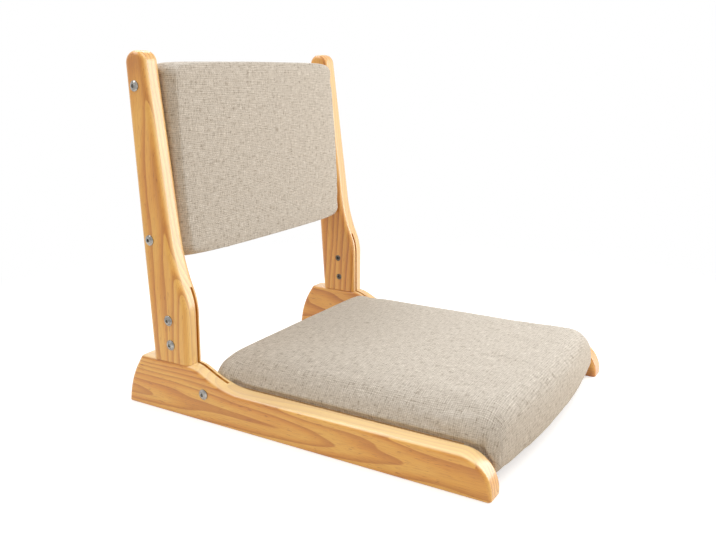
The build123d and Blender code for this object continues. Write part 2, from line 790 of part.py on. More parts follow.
def main():
    os.makedirs("parts", exist_ok=True)
    for name, piece in {**paired_pieces(), **middle_pieces()}.items():
        export_step(piece, f"parts/{name}.step")
        print(name, "solids", len(piece.solids()), "volume", round(sum(s.volume for s in piece.solids())))


main()
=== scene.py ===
# %% [markdown]
# # A folding floor chair
# This is a chair without legs, for sitting at a low table. Two pine rails lie on the floor with a
# padded seat between them. Two pine posts carry a padded backrest that folds down onto the seat.
# The solids were made in CAD. Here they are loaded as a fixed frame, the wood and metal get their
# finishes, and the two cushions are made again as padded cloth.

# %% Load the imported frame
import math

import bmesh
import bpy
import numpy as np
from mathutils import Matrix, Vector
from mathutils.bvhtree import BVHTree


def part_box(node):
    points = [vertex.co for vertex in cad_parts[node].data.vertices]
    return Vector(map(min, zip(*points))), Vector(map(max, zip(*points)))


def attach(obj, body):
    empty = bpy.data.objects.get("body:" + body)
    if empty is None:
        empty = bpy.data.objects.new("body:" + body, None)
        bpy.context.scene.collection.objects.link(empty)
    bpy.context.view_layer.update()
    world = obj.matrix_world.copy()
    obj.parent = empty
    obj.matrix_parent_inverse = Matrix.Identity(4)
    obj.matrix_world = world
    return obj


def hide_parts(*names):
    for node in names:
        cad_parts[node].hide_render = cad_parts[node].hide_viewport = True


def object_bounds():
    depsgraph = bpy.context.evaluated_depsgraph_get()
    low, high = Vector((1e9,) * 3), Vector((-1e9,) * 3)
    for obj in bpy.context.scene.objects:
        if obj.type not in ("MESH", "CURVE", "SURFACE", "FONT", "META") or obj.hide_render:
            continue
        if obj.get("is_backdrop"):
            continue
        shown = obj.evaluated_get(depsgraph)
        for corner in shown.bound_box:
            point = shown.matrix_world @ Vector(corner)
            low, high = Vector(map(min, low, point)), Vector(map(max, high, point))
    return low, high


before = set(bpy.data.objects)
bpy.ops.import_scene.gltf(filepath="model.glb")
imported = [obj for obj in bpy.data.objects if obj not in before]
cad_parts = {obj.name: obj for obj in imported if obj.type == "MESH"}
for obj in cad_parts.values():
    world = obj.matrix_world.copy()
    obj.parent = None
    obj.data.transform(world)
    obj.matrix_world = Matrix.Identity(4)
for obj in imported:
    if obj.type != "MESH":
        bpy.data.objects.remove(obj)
cad_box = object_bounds()
scene = bpy.context.scene
MM = 0.001
chair_size = [round((high - low) / MM) for low, high in zip(*cad_box)]
print(f"chair: {chair_size[0]} x {chair_size[1]} x {chair_size[2]} mm, {len(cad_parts)} nodes")

# %% [markdown]
# ## The camera
# The photograph was taken from in front of the chair's right side, a little above it. The camera's
# place, turn, lens and small shift come from fitting the outline of the CAD solids to the picture.

# %% Set the camera at the photograph's place
lens_data = bpy.data.cameras.new("photo_camera")
lens_data.sensor_fit = "HORIZONTAL"
lens_data.sensor_width = 36.0
lens_data.lens = 40.388
lens_data.shift_x = 0.00238
lens_data.shift_y = -0.04938
camera = bpy.data.objects.new("photo_camera", lens_data)
camera.location = (-0.86330, -0.48667, 0.40675)
camera.rotation_euler = (math.pi / 2 - 0.20399, 0, -1.02952)
scene.collection.objects.link(camera)
scene.camera = camera
scene.view_settings.view_transform = "Standard"
print(f"camera {camera.location.length:.2f} m from the middle of the chair")

# %% [markdown]
# ## Two small helpers
# A colour is picked on a screen as sRGB, and Blender's shaders work in linear light. One function
# turns the one into the other. A second one adds a node, sets it up and links it, which keeps each
# material down to a list of what it is made of.

# %% Colour and node helpers


def linear(hex_colour):
    """The linear RGBA of an sRGB hex colour such as #E2B878."""
    parts = [int(hex_colour[i : i + 2], 16) / 255 for i in (1, 3, 5)]
    return (*[p / 12.92 if p <= 0.04045 else ((p + 0.055) / 1.055) ** 2.4 for p in parts], 1.0)


def add_node(owner, kind, sockets=None, stops=None, **settings):
    """Adds a node to a material or world. A socket gets a value, or an output to link to."""
    node = owner.node_tree.nodes.new(kind)
    for name, value in settings.items():
        setattr(node, name, value)
    for name, value in (sockets or {}).items():
        if isinstance(value, bpy.types.NodeSocket):
            owner.node_tree.links.new(value, node.inputs[name])
        else:
            node.inputs[name].default_value = value
    if stops:
        bands = node.color_ramp.elements
        while len(bands) < len(stops):
            bands.new(1.0)
        for band, (place, colour) in zip(bands, stops):
            band.position = place
            band.color = linear(colour)
    return node


def new_finish(name):
    """An empty material."""
    material = bpy.data.materials.new(name)
    material.use_nodes = True
    material.node_tree.nodes.clear()
    return material


def close_finish(material, shader):
    """Links the finished shader to the material's output."""
    add_node(material, "ShaderNodeOutputMaterial", {"Surface": shader.outputs[0]})
    return material


def give(material, *names):
    """Puts a finish on CAD nodes."""
    for name in names:
        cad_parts[name].data.materials[0] = material


# %% [markdown]
# ## The sky
# The picture is a cut-out on white. The world lights the chair with an even, faintly warm sky. Rays
# that come from the camera or mirror off metal find plain white instead, so the background is white
# without more light on the object.

# %% The sky
world = bpy.data.worlds.new("studio")
world.use_nodes = True
world.node_tree.nodes.clear()
sky_path = add_node(world, "ShaderNodeLightPath")
sky_seen = add_node(
    world,
    "ShaderNodeMath",
    {0: sky_path.outputs["Is Camera Ray"], 1: sky_path.outputs["Is Transmission Ray"]},
    operation="ADD",
    use_clamp=True,
)
sky_seen_or_mirrored = add_node(
    world,
    "ShaderNodeMath",
    {0: sky_seen.outputs[0], 1: sky_path.outputs["Is Glossy Ray"]},
    operation="ADD",
    use_clamp=True,
)
sky_light = add_node(
    world, "ShaderNodeBackground", {"Color": linear("#FFF3E6"), "Strength": 0.62}
)
sky_white = add_node(world, "ShaderNodeBackground", {"Color": (1, 1, 1, 1)})
sky = add_node(
    world,
    "ShaderNodeMixShader",
    {0: sky_seen_or_mirrored.outputs[0], 1: sky_light.outputs[0], 2: sky_white.outputs[0]},
)
add_node(world, "ShaderNodeOutputWorld", {"Surface": sky.outputs[0]})
scene.world = world
print("sky: warm light, seen as white")

# %% [markdown]
# ## The floor
# The floor is painted white and catches a soft shadow. A share of glow keeps it near white under
# this light. What it sends back up to the chair is the light of a warmer and darker paint, so that
# the chair isn't lit much from below.

# %% The floor
FLOOR_DROP = 0.0002  # the floor lies this far under the rails, so the two don't flicker
floor_mesh = bmesh.new()
bmesh.ops.create_grid(floor_mesh, x_segments=1, y_segments=1, size=4.0)
floor_data = bpy.data.meshes.new("studio_floor")
floor_mesh.to_mesh(floor_data)
floor_mesh.free()
floor = bpy.data.objects.new("studio_floor", floor_data)
floor.location.z = -FLOOR_DROP
scene.collection.objects.link(floor)
floor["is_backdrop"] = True

white_floor = new_finish("painted_white_floor")
floor_light = add_node(white_floor, "ShaderNodeBsdfDiffuse", {"Color": linear("#D9CBB8")})
floor_paint = add_node(white_floor, "ShaderNodeBsdfDiffuse", {"Color": linear("#D8D8D8")})
floor_glow = add_node(white_floor, "ShaderNodeEmission", {"Color": (1, 1, 1, 1), "Strength": 0.55})
floor_shaded = add_node(
    white_floor, "ShaderNodeAddShader", {0: floor_paint.outputs[0], 1: floor_glow.outputs[0]}
)
# between 0.45 m and 0.9 m from its middle the floor fades to the same white as the sky
floor_where = add_node(white_floor, "ShaderNodeTexCoord")
floor_far = add_node(
    white_floor, "ShaderNodeVectorMath", {0: floor_where.outputs["Object"]}, operation="LENGTH"
)
floor_fade = add_node(
    white_floor,
    "ShaderNodeMapRange",
    {"Value": floor_far.outputs["Value"], "From Min": 0.45, "From Max": 0.9},
    interpolation_type="SMOOTHSTEP",
)
floor_white = add_node(white_floor, "ShaderNodeEmission", {"Color": (1, 1, 1, 1), "Strength": 1.0})
floor_seen = add_node(
    white_floor,
    "ShaderNodeMixShader",
    {0: floor_fade.outputs["Result"], 1: floor_shaded.outputs[0], 2: floor_white.outputs[0]},
)
floor_path = add_node(white_floor, "ShaderNodeLightPath")
floor_direct = add_node(
    white_floor,
    "ShaderNodeMath",
    {0: floor_path.outputs["Is Camera Ray"], 1: floor_path.outputs["Is Glossy Ray"]},
    operation="MAXIMUM",
)
floor_mix = add_node(
    white_floor,
    "ShaderNodeMixShader",
    {0: floor_direct.outputs[0], 1: floor_light.outputs[0], 2: floor_seen.outputs[0]},
)
close_finish(white_floor, floor_mix)
floor.data.materials.append(white_floor)
print("floor: white, with a soft shadow")

# %% [markdown]
# ## The soft boxes
# Three large area lamps shape the chair. A strip in front on the far side makes the posts' fronts
# the brightest wood, an overhead box lights the seat, and a long one behind brightens the tops of
# the rails. The pine adds painted light to those fronts and tops. The near side of each rail gets
# least, and is a deeper orange.

# %% The soft boxes
AIM = Vector((0, 0, 0.15))  # just over the seat


def soft_box(name, place, width, height, power):
    """An area lamp that faces the seat."""
    lamp = bpy.data.lights.new(name, "AREA")
    lamp.color = linear("#F6FAFF")[:3]
    lamp.shape = "RECTANGLE"
    lamp.size = width
    lamp.size_y = height
    lamp.energy = power
    box = bpy.data.objects.new(name, lamp)
    box.location = place
    box.rotation_euler = (AIM - Vector(place)).to_track_quat("-Z", "Y").to_euler()
    scene.collection.objects.link(box)


soft_box("strip_box", (0.85, -0.90, 0.46), 0.5, 1.1, 9.0)
soft_box("overhead_soft_box", (0.2, -0.6, 2.2), 1.6, 1.6, 17.0)
soft_box("back_soft_box", (0.0, 1.05, 1.7), 3.0, 0.6, 20.0)
print("three soft boxes")

# %% [markdown]
# ## Lacquered pine
# Every wooden piece is sawn from a pine board. A tree's yearly rings are nested cones, and what a
# board shows depends on where its faces cut them: long straight lines where they run edge-on, and
# pointed arches where a face runs nearly along a ring. So the pattern is a solid one. The piece's
# coordinates are moved to the heart of its tree, the distance from that heart is split into rings,
# and each ring goes from pale spring wood to a thin, dark summer line. Noise that is stretched along
# the trunk bends the rings and draws the fibres. Faces that look one given way are painted paler, as
# painted light. The lacquer is a thin satin coat on top.

# %% The pine finish
WAVE = 0.314159  # pi / 10: the scale at which a wave texture repeats once a metre


def lacquered_pine(
    name,
    heart,
    lie,
    ring_mm,
    bend_mm,
    seed,
    painted_light_side=(0, 0, 0),
    pale="#FBCC69",
    mid="#F0B650",
    deep="#D8983A",
):
    """Pine from a trunk whose heart passes through heart, turned by lie, in metres and radians.

    The faces that look along the given side direction are painted paler, as painted light.
    """
    pine = new_finish(name)
    where = add_node(pine, "ShaderNodeTexCoord")
    trunk = add_node(
        pine,
        "ShaderNodeMapping",
        {"Vector": where.outputs["Object"], "Location": heart, "Rotation": lie},
        vector_type="TEXTURE",
    )
    # slow bends in the rings, about 60 mm across and 370 mm long
    long_way = add_node(
        pine,
        "ShaderNodeMapping",
        {
            "Vector": trunk.outputs[0],
            "Location": (seed, seed * 0.7, seed * 1.3),
            "Scale": (1, 1, 0.16),
        },
    )
    bends = add_node(
        pine,
        "ShaderNodeTexNoise",
        {"Vector": long_way.outputs[0], "Scale": 17.0, "Detail": 2.0, "Roughness": 0.45},
    )
    centred = add_node(
        pine,
        "ShaderNodeVectorMath",
        {0: bends.outputs["Color"], 1: (0.5, 0.5, 0.5)},
        operation="SUBTRACT",
    )
    bent = add_node(
        pine,
        "ShaderNodeVectorMath",
        {0: centred.outputs[0], 1: (2 * bend_mm * MM, 2 * bend_mm * MM, 0.0), 2: trunk.outputs[0]},
        operation="MULTIPLY_ADD",
    )
    # wide and narrow years, over about 24 mm
    years = add_node(
        pine,
        "ShaderNodeTexNoise",
        {"Vector": long_way.outputs[0], "Scale": 42.0, "Detail": 1.0},
    )
    slip = add_node(
        pine, "ShaderNodeMath", {0: years.outputs["Fac"], 1: 9.0}, operation="MULTIPLY"
    )
    rings = add_node(
        pine,
        "ShaderNodeTexWave",
        {
            "Vector": bent.outputs[0],
            "Scale": WAVE / (ring_mm * MM),
            "Phase Offset": slip.outputs[0],
        },
        wave_type="RINGS",
        rings_direction="Z",
        wave_profile="SAW",
    )
    ring_colour = add_node(
        pine,
        "ShaderNodeValToRGB",
        {"Fac": rings.outputs["Fac"]},
        stops=[(0.0, pale), (0.30, pale), (0.62, mid), (0.88, deep), (0.96, deep), (1.0, pale)],
    )
    # fibres: streaks 0.9 mm wide and 40 mm long. Real ones are far finer, and wouldn't show.
    fibre_way = add_node(
        pine,
        "ShaderNodeMapping",
        {"Vector": bent.outputs[0], "Scale": (1, 1, 0.022)},
    )
    fibres = add_node(
        pine,
        "ShaderNodeTexNoise",
        {"Vector": fibre_way.outputs[0], "Scale": 1150.0, "Detail": 3.0, "Roughness": 0.6},
    )
    fibre_shade = add_node(
        pine,
        "ShaderNodeValToRGB",
        {"Fac": fibres.outputs["Fac"]},
        stops=[(0.25, "#DCBE98"), (0.5, "#F6EDE0"), (0.75, "#FFFFFF")],
    )
    fibred = add_node(
        pine,
        "ShaderNodeMix",
        {"Factor": 0.75, "A": ring_colour.outputs["Color"], "B": fibre_shade.outputs["Color"]},
        data_type="RGBA",
        blend_type="MULTIPLY",
    )
    # slow drift from honey to orange, about 40 mm across
    drift_noise = add_node(
        pine,
        "ShaderNodeTexNoise",
        {"Vector": long_way.outputs[0], "Scale": 26.0, "Detail": 1.0},
    )
    drift = add_node(
        pine,
        "ShaderNodeValToRGB",
        {"Fac": drift_noise.outputs["Fac"]},
        stops=[(0.3, "#F2D9B4"), (0.5, "#FFFFFF"), (0.72, "#F7E6CB")],
    )
    drifted = add_node(
        pine,
        "ShaderNodeMix",
        {"Factor": 0.8, "A": fibred.outputs["Result"], "B": drift.outputs["Color"]},
        data_type="RGBA",
        blend_type="MULTIPLY",
    )
    # resin canals: dark dashes 0.7 mm wide and 11 mm long, drawn coarser than real ones
    dash_way = add_node(
        pine, "ShaderNodeMapping", {"Vector": trunk.outputs[0], "Scale": (1, 1, 0.06)}
    )
    dashes = add_node(
        pine, "ShaderNodeTexNoise", {"Vector": dash_way.outputs[0], "Scale": 1500.0, "Detail": 0.0}
    )
    dash_mask = add_node(
        pine,
        "ShaderNodeValToRGB",
        {"Fac": dashes.outputs["Fac"]},
        stops=[(0.0, "#FFFFFF"), (0.72, "#FFFFFF"), (0.80, "#B98A55")],
    )
    coloured = add_node(
        pine,
        "ShaderNodeMix",
        {"Factor": 0.7, "A": drifted.outputs["Result"], "B": dash_mask.outputs["Color"]},
        data_type="RGBA",
        blend_type="MULTIPLY",
    )
    # painted light: faces that look along the given side direction are painted paler
    outside = add_node(
        pine,
        "ShaderNodeVectorMath",
        {0: where.outputs["Normal"], 1: painted_light_side},
        operation="DOT_PRODUCT",
    )
    painted_light_share = add_node(
        pine,
        "ShaderNodeMapRange",
        {"Value": outside.outputs["Value"], "From Min": 0.5, "From Max": 0.9, "To Max": 0.6},
        interpolation_type="SMOOTHSTEP",
    )
    painted_light_colour = add_node(
        pine,
        "ShaderNodeMix",
        {
            "Factor": painted_light_share.outputs["Result"],
            "A": coloured.outputs["Result"],
            "B": linear("#FFE9B4"),
        },
        data_type="RGBA",
    )
    # the summer lines stand a little proud after sanding, and fibres show in the satin
    relief = add_node(
        pine,
        "ShaderNodeMath",
        {0: rings.outputs["Fac"], 1: 0.35, 2: fibres.outputs["Fac"]},
        operation="MULTIPLY_ADD",
    )
    bump = add_node(
        pine,
        "ShaderNodeBump",
        {"Height": relief.outputs[0], "Strength": 0.35, "Distance": 0.00012},
    )
    satin = add_node(
        pine,
        "ShaderNodeMapRange",
        {"Value": fibres.outputs["Fac"], "To Min": 0.34, "To Max": 0.50},
    )
    body = add_node(
        pine,
        "ShaderNodeBsdfPrincipled",
        {
            "Base Color": painted_light_colour.outputs["Result"],
            "Roughness": satin.outputs["Result"],
            "IOR": 1.5,
            "Coat Weight": 0.8,
            "Coat Roughness": 0.20,
            "Normal": bump.outputs["Normal"],
        },
    )
    return close_finish(pine, body)


# %% [markdown]
# ## Each piece from its own board
# The rails' grain runs front to back. The heart of the near rail's tree lies beside its inner face
# at the front and leans into the rail behind, so the outer face cuts the rings at a shallow angle
# and shows arches. The posts stand up, so their grain does too, and it runs nearly straight from top
# to bottom. The far side's boards get darker colours, as painted shade.

# %% Pine on the rails, posts and bars
ALONG_Y = math.radians(-90)
# darker colours for the far rail and post: painted shade
FAR_SIDE_PAINTED_SHADE = {"pale": "#F1BA5C", "mid": "#E2A243", "deep": "#C98532"}
# each board's given side direction gets painted light: the rails' tops and the posts' fronts
right_rail_pine = lacquered_pine(
    "lacquered_pine_right_rail",
    heart=(-0.172, -0.13, 0.020),
    lie=(ALONG_Y, 0.0, math.radians(2.8)),
    ring_mm=5.5,
    bend_mm=7.5,
    seed=1.7,
    painted_light_side=(0, 0, 1),
)
left_rail_pine = lacquered_pine(
    "lacquered_pine_left_rail",
    heart=(0.235, 0.05, 0.030),
    lie=(ALONG_Y, 0.0, math.radians(2.6)),
    ring_mm=6.0,
    bend_mm=7.0,
    seed=5.1,
    painted_light_side=(0, 0, 0.8),
    **FAR_SIDE_PAINTED_SHADE,
)
right_post_pine = lacquered_pine(
    "lacquered_pine_right_post",
    heart=(-0.080, 0.230, 0.20),
    lie=(math.radians(3.9), math.radians(1.6), 0.0),
    ring_mm=6.0,
    bend_mm=3.0,
    seed=3.3,
    painted_light_side=(0, -0.75, 0),
)
left_post_pine = lacquered_pine(
    "lacquered_pine_left_post",
    heart=(0.080, 0.235, 0.20),
    lie=(math.radians(4.1), math.radians(-1.0), 0.0),
    ring_mm=6.0,
    bend_mm=3.0,
    seed=8.2,
    painted_light_side=(0, -0.8, 0),
    **FAR_SIDE_PAINTED_SHADE,
)
give(right_rail_pine, "right_rail")
give(left_rail_pine, "left_rail")
give(right_post_pine, "right_post")
give(left_post_pine, "left_post")

# the hidden bars are plainer pine with narrow rings
ALONG_X = math.radians(90)
bar_pine = lacquered_pine(
    "planed_pine_bars",
    heart=(0.0, 0.03, -0.06),
    lie=(0.0, ALONG_X, math.radians(1.5)),
    ring_mm=4.5,
    bend_mm=4.0,
    seed=2.4,
)
give(bar_pine, "rear_crossbar", "front_crossbar", "seat_nose_bar")
give(bar_pine, "back_top_crossbar", "back_bottom_crossbar")
stile_pine = lacquered_pine(
    "planed_pine_stiles",
    heart=(0.06, 0.26, 0.30),
    lie=(math.radians(3.6), 0.0, 0.0),
    ring_mm=4.5,
    bend_mm=4.0,
    seed=6.6,
)
give(stile_pine, "back_stiles")
print("pine on 10 nodes")

# %% [markdown]
# ## Birch plywood and beech
# The boards under the padding are birch plywood: thin sheets glued crosswise, so an edge shows
# light and dark stripes. The dowels are beech, a plain pinkish wood with short brown flecks.

# %% Plywood and dowel finishes


def birch_plywood(name, ply_mm, across):
    """Plywood whose sheets are stacked along the axis named across, Z or Y."""
    ply = new_finish(name)
    where = add_node(ply, "ShaderNodeTexCoord")
    plies = add_node(
        ply,
        "ShaderNodeTexWave",
        {"Vector": where.outputs["Object"], "Scale": WAVE / (2 * ply_mm * MM)},
        wave_type="BANDS",
        bands_direction=across,
    )
    way = add_node(
        ply, "ShaderNodeMapping", {"Vector": where.outputs["Object"], "Scale": (0.05, 1, 1)}
    )
    grain = add_node(
        ply, "ShaderNodeTexNoise", {"Vector": way.outputs[0], "Scale": 500.0, "Detail": 4.0}
    )
    ply_colour = add_node(
        ply,
        "ShaderNodeValToRGB",
        {"Fac": plies.outputs["Fac"]},
        stops=[(0.35, "#E6D0AC"), (0.65, "#C9A777")],
    )
    grain_colour = add_node(
        ply,
        "ShaderNodeValToRGB",
        {"Fac": grain.outputs["Fac"]},
        stops=[(0.3, "#D9C4A4"), (0.7, "#FFFFFF")],
    )
    both = add_node(
        ply,
        "ShaderNodeMix",
        {"Factor": 0.7, "A": ply_colour.outputs["Color"], "B": grain_colour.outputs["Color"]},
        data_type="RGBA",
        blend_type="MULTIPLY",
    )
    bump = add_node(
        ply, "ShaderNodeBump", {"Height": grain.outputs["Fac"], "Strength": 0.3, "Distance": 0.0001}
    )
    body = add_node(
        ply,
        "ShaderNodeBsdfPrincipled",
        {
            "Base Color": both.outputs["Result"],
            "Roughness": 0.62,
            "IOR": 1.5,
            "Normal": bump.outputs["Normal"],
        },
    )
    return close_finish(ply, body)


give(birch_plywood("birch_plywood_seat", 1.3, "Z"), "seat_board")
give(birch_plywood("birch_plywood_back", 1.2, "Y"), "back_board")

# flecks 1.1 mm wide and 5.5 mm long, along the dowels
beech = new_finish("planed_beech_dowels")
beech_where = add_node(beech, "ShaderNodeTexCoord")
beech_way = add_node(
    beech, "ShaderNodeMapping", {"Vector": beech_where.outputs["Object"], "Scale": (0.2, 1, 1)}
)
beech_flecks = add_node(
    beech, "ShaderNodeTexNoise", {"Vector": beech_way.outputs[0], "Scale": 900.0, "Detail": 2.0}
)
beech_colour = add_node(
    beech,
    "ShaderNodeValToRGB",
    {"Fac": beech_flecks.outputs["Fac"]},
    stops=[(0.35, "#B98A62"), (0.6, "#D9B08A")],
)
beech_body = add_node(
    beech,
    "ShaderNodeBsdfPrincipled",
    {"Base Color": beech_colour.outputs["Color"], "Roughness": 0.6, "IOR": 1.5},
)
close_finish(beech, beech_body)
give(beech, "crossbar_dowels")
print("plywood and beech on 3 nodes")

# %% [markdown]
# ## Plated steel
# The bolts are steel with a bright nickel plating: a warm grey mirror that handling has dulled a
# little, so its roughness wanders between satin and bright. Its colour is drawn darker than bright
# nickel, as painted shade in what it mirrors. The sleeve nuts are plain steel, darker and duller,
# and drawn darker still: partly their own colour, partly painted shade of the holes they sit in.
# The wood screws are yellow zinc. The hinge plates and the cross dowels are plain zinc, which dries
# to a pattern of pale and dark crystals.

# %% Metal finishes


def plated_steel(name, pale, dark, smooth, rough, patch_mm):
    """Plated steel whose colour and polish wander over patches of patch_mm."""
    steel = new_finish(name)
    where = add_node(steel, "ShaderNodeTexCoord")
    patches = add_node(
        steel,
        "ShaderNodeTexNoise",
        {"Vector": where.outputs["Object"], "Scale": 1 / (patch_mm * MM), "Detail": 3.0},
    )
    scratches = add_node(
        steel,
        "ShaderNodeTexNoise",
        {"Vector": where.outputs["Object"], "Scale": 4000.0, "Detail": 1.0},
    )
    colour = add_node(
        steel,
        "ShaderNodeValToRGB",
        {"Fac": patches.outputs["Fac"]},
        stops=[(0.3, dark), (0.7, pale)],
    )
    polish = add_node(
        steel,
        "ShaderNodeMapRange",
        {
            "Value": patches.outputs["Fac"],
            "From Min": 0.3,
            "From Max": 0.7,
            "To Min": smooth,
            "To Max": rough,
        },
    )
    bump = add_node(
        steel,
        "ShaderNodeBump",
        {"Height": scratches.outputs["Fac"], "Strength": 0.15, "Distance": 0.00003},
    )
    body = add_node(
        steel,
        "ShaderNodeBsdfPrincipled",
        {
            "Base Color": colour.outputs["Color"],
            "Metallic": 1.0,
            "Roughness": polish.outputs["Result"],
            "Normal": bump.outputs["Normal"],
        },
    )
    return close_finish(steel, body)


# nickel drawn darker than bright plating: painted shade in its reflections
nickel = plated_steel("nickel_plated_bolts", "#B2AFA9", "#7C7974", 0.10, 0.22, 3.0)
# nut steel drawn darker: partly its own colour, partly painted shade of the holes it sits in
painted_shade_nut_steel = plated_steel("steel_nuts_with_painted_shade", "#766F66", "#423C35", 0.25, 0.42, 3.0)
zinc = plated_steel("zinc_plated_hinge_plate", "#B9BBBD", "#8E9194", 0.28, 0.45, 6.0)
yellow_zinc = plated_steel("yellow_zinc_screws", "#C9AE6B", "#A88A45", 0.25, 0.4, 2.0)
for side in ("right", "left"):
    give(nickel, f"{side}_pivot_bolt", f"{side}_plate_bolts", f"{side}_back_bolts")
    give(painted_shade_nut_steel, f"{side}_pivot_nut", f"{side}_plate_nuts")
    give(zinc, f"{side}_hinge_plate")
give(zinc, "back_barrel_nuts")
give(yellow_zinc, "seat_board_screws", "back_board_screws")
print("steel on 15 nodes")

# %% [markdown]
# ## The cover's weave
# The cover is a plain-woven upholstery cloth of linen-look yarn: thick and thin threads in greige,
# each spun from fibres of a few shades, so the cloth is flecked along its threads in both ways. The
# threads of such a cloth lie about 0.9 mm apart. That is finer than the picture can show, so they
# are drawn 2.2 mm apart. The pattern follows a UV map in metres that wraps over the edges as the
# cloth does, and the fuzz on the yarn gives a little sheen at a flat angle.

# %% The cover's finish


def woven_cover(name, thread_mm, pale, mid, dark):
    """A plain weave read from the piece's UV map, which is in metres."""
    cloth = new_finish(name)
    uv = add_node(cloth, "ShaderNodeUVMap", uv_map="weave")
    warp = add_node(
        cloth,
        "ShaderNodeTexWave",
        {"Vector": uv.outputs[0], "Scale": WAVE / (thread_mm * MM)},
        wave_type="BANDS",
        bands_direction="X",
    )
    weft = add_node(
        cloth,
        "ShaderNodeTexWave",
        {"Vector": uv.outputs[0], "Scale": WAVE / (thread_mm * MM)},
        wave_type="BANDS",
        bands_direction="Y",
    )
    over_under = add_node(
        cloth, "ShaderNodeTexChecker", {"Vector": uv.outputs[0], "Scale": 1 / (thread_mm * MM)}
    )
    weave = add_node(
        cloth,
        "ShaderNodeMix",
        {"Factor": over_under.outputs["Fac"], "A": warp.outputs["Fac"], "B": weft.outputs["Fac"]},
    )
    # slubs: thick places about 10 mm long and 1.6 mm wide, along the weft and along the warp
    weft_way = add_node(
        cloth, "ShaderNodeMapping", {"Vector": uv.outputs[0], "Scale": (95, 620, 1)}
    )
    weft_slubs = add_node(
        cloth, "ShaderNodeTexNoise", {"Vector": weft_way.outputs[0], "Scale": 1.0, "Detail": 2.0}
    )
    warp_way = add_node(
        cloth, "ShaderNodeMapping", {"Vector": uv.outputs[0], "Scale": (620, 95, 1)}
    )
    warp_slubs = add_node(
        cloth, "ShaderNodeTexNoise", {"Vector": warp_way.outputs[0], "Scale": 1.0, "Detail": 2.0}
    )
    slubs = add_node(
        cloth,
        "ShaderNodeMix",
        {"Factor": 0.5, "A": weft_slubs.outputs["Fac"], "B": warp_slubs.outputs["Fac"]},
    )
    flecks = add_node(
        cloth,
        "ShaderNodeTexNoise",
        {"Vector": uv.outputs[0], "Scale": 700.0, "Detail": 2.0, "Roughness": 0.7},
    )
    blend = add_node(
        cloth,
        "ShaderNodeMix",
        {"Factor": 0.22, "A": slubs.outputs["Result"], "B": flecks.outputs["Fac"]},
    )
    yarn = add_node(
        cloth,
        "ShaderNodeValToRGB",
        {"Fac": blend.outputs["Result"]},
        stops=[(0.38, dark), (0.48, mid), (0.53, mid), (0.62, pale)],
    )
    gap_shade = add_node(
        cloth,
        "ShaderNodeValToRGB",
        {"Fac": weave.outputs["Result"]},
        stops=[(0.0, "#B7B0A5"), (0.5, "#F1EFEC"), (1.0, "#FFFFFF")],
    )
    coloured = add_node(
        cloth,
        "ShaderNodeMix",
        {"Factor": 0.5, "A": yarn.outputs["Color"], "B": gap_shade.outputs["Color"]},
        data_type="RGBA",
        blend_type="MULTIPLY",
    )
    thickness = add_node(
        cloth,
        "ShaderNodeMath",
        {0: slubs.outputs["Result"], 1: 1.2, 2: weave.outputs["Result"]},
        operation="MULTIPLY_ADD",
    )
    bump = add_node(
        cloth,
        "ShaderNodeBump",
        {"Height": thickness.outputs[0], "Strength": 0.6, "Distance": 0.0003},
    )
    body = add_node(
        cloth,
        "ShaderNodeBsdfPrincipled",
        {
            "Base Color": coloured.outputs["Result"],
            "Roughness": 0.92,
            "IOR": 1.45,
            "Specular IOR Level": 0.25,
            "Sheen Weight": 0.25,
            "Sheen Roughness": 0.5,
            "Sheen Tint": linear("#F3EBDD"),
            "Normal": bump.outputs["Normal"],
        },
    )
    return close_finish(cloth, body)


cover_cloth = woven_cover("linen_look_cover", 2.2, "#E6E1D8", "#D1CBC1", "#A59C8F")
print("cover cloth: threads 2.2 mm apart")

# %% [markdown]
# ## Reading and writing a mesh
# A real cushion is foam on a board with cloth pulled round it. Its shape is worked out here on rows
# of points, so a few helpers read a mesh's points, their outward directions and its edges, and write
# points back. One more applies the modifiers, because a form has to be a plain mesh before it moves.

# %% Mesh helpers


def settle(piece):
    """Applies a piece's modifiers to its mesh."""
    held = piece.evaluated_get(bpy.context.evaluated_depsgraph_get())
    flat = bpy.data.meshes.new_from_object(held)
    piece.modifiers.clear()
    old = piece.data
    piece.data = flat
    bpy.data.meshes.remove(old)


def points_of(piece):
    """The mesh's points as rows of x, y, z."""
    flat = np.empty(len(piece.data.vertices) * 3)
    piece.data.vertices.foreach_get("co", flat)
    return flat.reshape(-1, 3)


def put_points(piece, points):
    """Writes rows of x, y, z back to the mesh."""
    piece.data.vertices.foreach_set("co", points.ravel())
    piece.data.update()


def facing_of(piece):
    """The mesh's outward direction at each point."""
    flat = np.empty(len(piece.data.vertices) * 3)
    piece.data.vertex_normals.foreach_get("vector", flat)
    return flat.reshape(-1, 3)


def spread(piece, values, rounds):
    """Evens values out over neighbouring points, as often as rounds says."""
    ends = np.empty(len(piece.data.edges) * 2, dtype=np.int64)
    piece.data.edges.foreach_get("vertices", ends)
    one, other = ends[::2], ends[1::2]
    count = len(values)
    neighbours = np.bincount(one, minlength=count) + np.bincount(other, minlength=count)
    for _ in range(rounds):
        total = np.bincount(one, values[other], count) + np.bincount(other, values[one], count)
        values = 0.5 * values + 0.5 * total / neighbours
    return values


# %% [markdown]
# ## The form
# The form is a merged copy of the foam, its board and its bars, remeshed to small even quads, which
# also rounds the corners as cloth does. Even quads matter, because cloth bends along its edges.

# %% The form
SAME_PLACE = 0.00001  # points closer than this are one point


